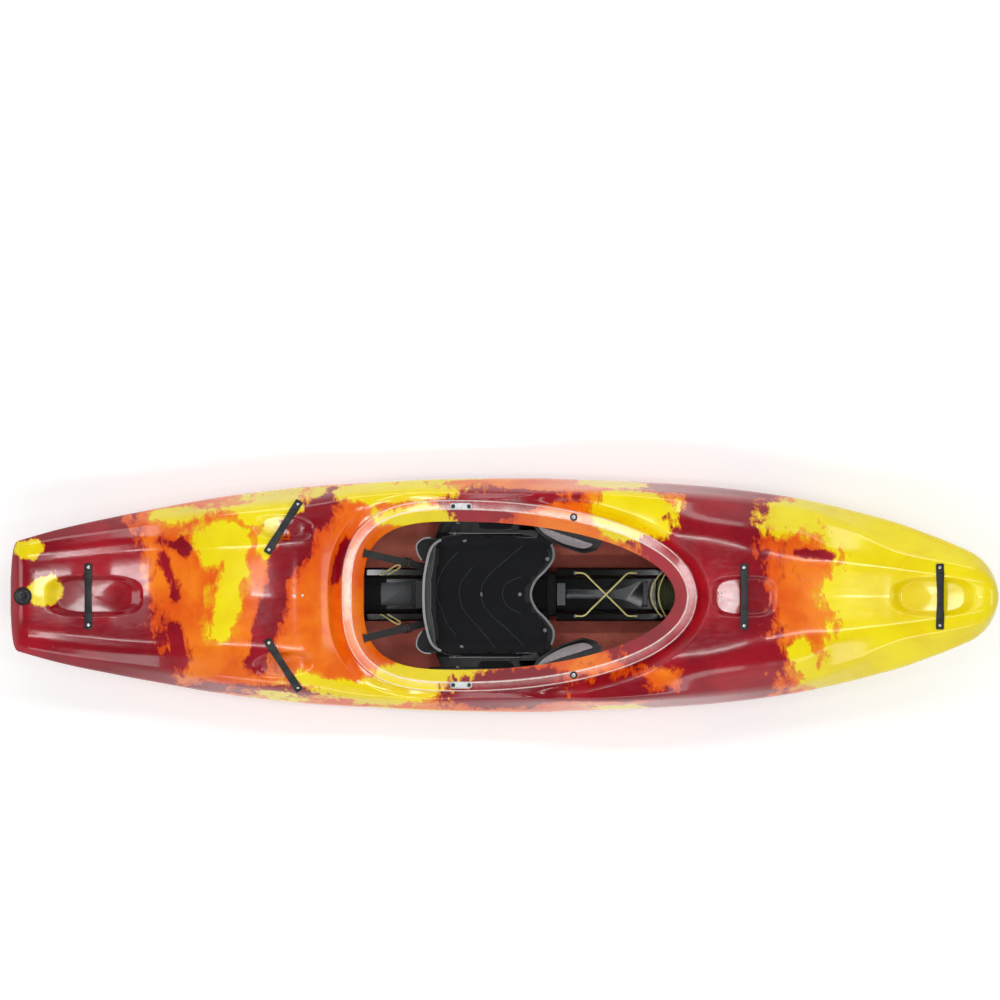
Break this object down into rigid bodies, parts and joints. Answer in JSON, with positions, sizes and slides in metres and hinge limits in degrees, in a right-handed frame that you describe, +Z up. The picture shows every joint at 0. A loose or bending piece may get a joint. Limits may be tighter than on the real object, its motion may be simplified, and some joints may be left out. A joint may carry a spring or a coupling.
{
  "type": "whitewater kayak",
  "caption": "Rotomoulded whitewater kayak with a marbled shell, padded seat, backband on ratchet straps, thigh braces, grab handles and a sliding footrest",
  "frame": {"origin": "on the ground under the middle of the overall length and beam", "axes": "+X towards the bow, +Y to port, +Z up"},
  "size_m": [2.7, 0.648, 0.4353],
  "materials": {
    "marbled_shell": "marbled polyethylene, moulded in yellow, orange and crimson",
    "handle_strap": "satin moulded strap",
    "bolt_steel": "stainless",
    "black_plastic": "moulded, fine grain",
    "webbing": "woven",
    "rail_aluminium": "anodised",
    "bungee": "braided cover",
    "sleeve_fabric": "ribbed",
    "pillar_foam": "closed cell foam",
    "seal_rubber": "matt",
    "grey_plastic": "moulded",
    "pale_plastic": "moulded",
    "pad_foam": "stretch fabric over closed cell foam"
  },
  "bodies": {
    "hull": {"hull_shell": "marbled_shell", "stern_handle": "handle_strap", "bow_handle": "handle_strap", "front_deck_handle": "handle_strap", "rear_handle_port": "handle_strap", "rear_handle_starboard": "handle_strap", "anchor_plate_port": "bolt_steel", "anchor_plate_starboard": "bolt_steel", "seat_hanger_port": "black_plastic", "seat_hanger_starboard": "black_plastic", "webbing_port": "webbing", "webbing_starboard": "webbing", "brace_bolt_port": "bolt_steel", "brace_bolt_starboard": "bolt_steel", "footrest_rail_port": "rail_aluminium", "footrest_rail_starboard": "rail_aluminium", "bungee_port": "bungee", "bungee_starboard": "bungee", "rear_cord_port": "bungee", "rear_cord_starboard": "bungee", "rail_bolt_port_1": "bolt_steel", "rail_bolt_port_2": "bolt_steel", "rail_bolt_starboard_1": "bolt_steel", "rail_bolt_starboard_2": "bolt_steel", "front_tray": "black_plastic", "rear_tray": "black_plastic", "bottle_sleeve": "sleeve_fabric", "rear_bottle_loop": "bungee", "front_bottle_loop": "bungee", "bow_pillar": "pillar_foam", "stern_pillar": "pillar_foam", "drain_ring": "seal_rubber"},
    "seat": {"seat_pan": "black_plastic", "seat_pad": "pad_foam", "hip_pad_port": "pad_foam", "hip_pad_starboard": "pad_foam", "seat_bolt_port": "bolt_steel", "seat_bolt_starboard": "bolt_steel", "ratchet_base_port": "grey_plastic", "ratchet_base_starboard": "grey_plastic"},
    "backband": {"backband_shell": "black_plastic", "backband_pad": "pad_foam", "ladder_strap_port": "pale_plastic", "ladder_strap_starboard": "pale_plastic", "buckle_port": "black_plastic", "buckle_starboard": "black_plastic"},
    "lever_port": {"ratchet_lever_port": "black_plastic"},
    "lever_starboard": {"ratchet_lever_starboard": "black_plastic"},
    "brace_port": {"thigh_brace_port": "black_plastic", "thigh_pad_port": "pad_foam"},
    "brace_starboard": {"thigh_brace_starboard": "black_plastic", "thigh_pad_starboard": "pad_foam"},
    "footrest": {"footrest_plate": "black_plastic", "footrest_pad": "pad_foam"},
    "drain_gasket": {"drain_gasket": "seal_rubber"},
    "drain_plug": {"drain_plug": "grey_plastic"}
  },
  "joints": [
    {"name": "seat_slide", "type": "slide", "parent": "hull", "child": "seat", "axis": [1, 0, 0], "range_m": [-0.02, 0.02]},
    {"name": "backband_slide", "type": "slide", "parent": "seat", "child": "backband", "axis": [1, 0, 0], "range_m": [-0.02, 0.015], "deforming": ["webbing_port", "webbing_starboard"]},
    {"name": "ratchet_lever_hinge_port", "type": "hinge", "parent": "seat", "child": "lever_port", "pos_m": [0.089, 0.162, 0.21], "axis": [0, 0, 1], "range_deg": [0, 40], "stiffness_Nm_per_rad": 0.2},
    {"name": "ratchet_lever_hinge_starboard", "type": "hinge", "parent": "seat", "child": "lever_starboard", "pos_m": [0.089, -0.162, 0.21], "axis": [0, 0, -1], "range_deg": [0, 40], "stiffness_Nm_per_rad": 0.2},
    {"name": "thigh_brace_slide_port", "type": "slide", "parent": "hull", "child": "brace_port", "axis": [0.9663, -0.2022, 0.159], "range_m": [-0.02, 0.02]},
    {"name": "thigh_brace_slide_starboard", "type": "slide", "parent": "hull", "child": "brace_starboard", "axis": [0.9663, 0.2022, 0.159], "range_m": [-0.02, 0.02]},
    {"name": "footrest_slide", "type": "slide", "parent": "hull", "child": "footrest", "axis": [1, 0, 0], "range_m": [-0.06, 0.06]},
    {"name": "drain_lift", "type": "slide", "parent": "hull", "child": "drain_gasket", "axis": [0, 0, 1], "range_m": [0, 0.015]},
    {"name": "drain_plug_turn", "type": "hinge", "parent": "drain_gasket", "child": "drain_plug", "pos_m": [-1.314, 0, 0.366], "axis": [0, 0, 1], "range_deg": [0, 1800]}
  ],
  "couplings": [
    {"joint": "drain_plug_turn", "follows": "drain_lift", "rad_per_m": 2094.4}
  ]
}
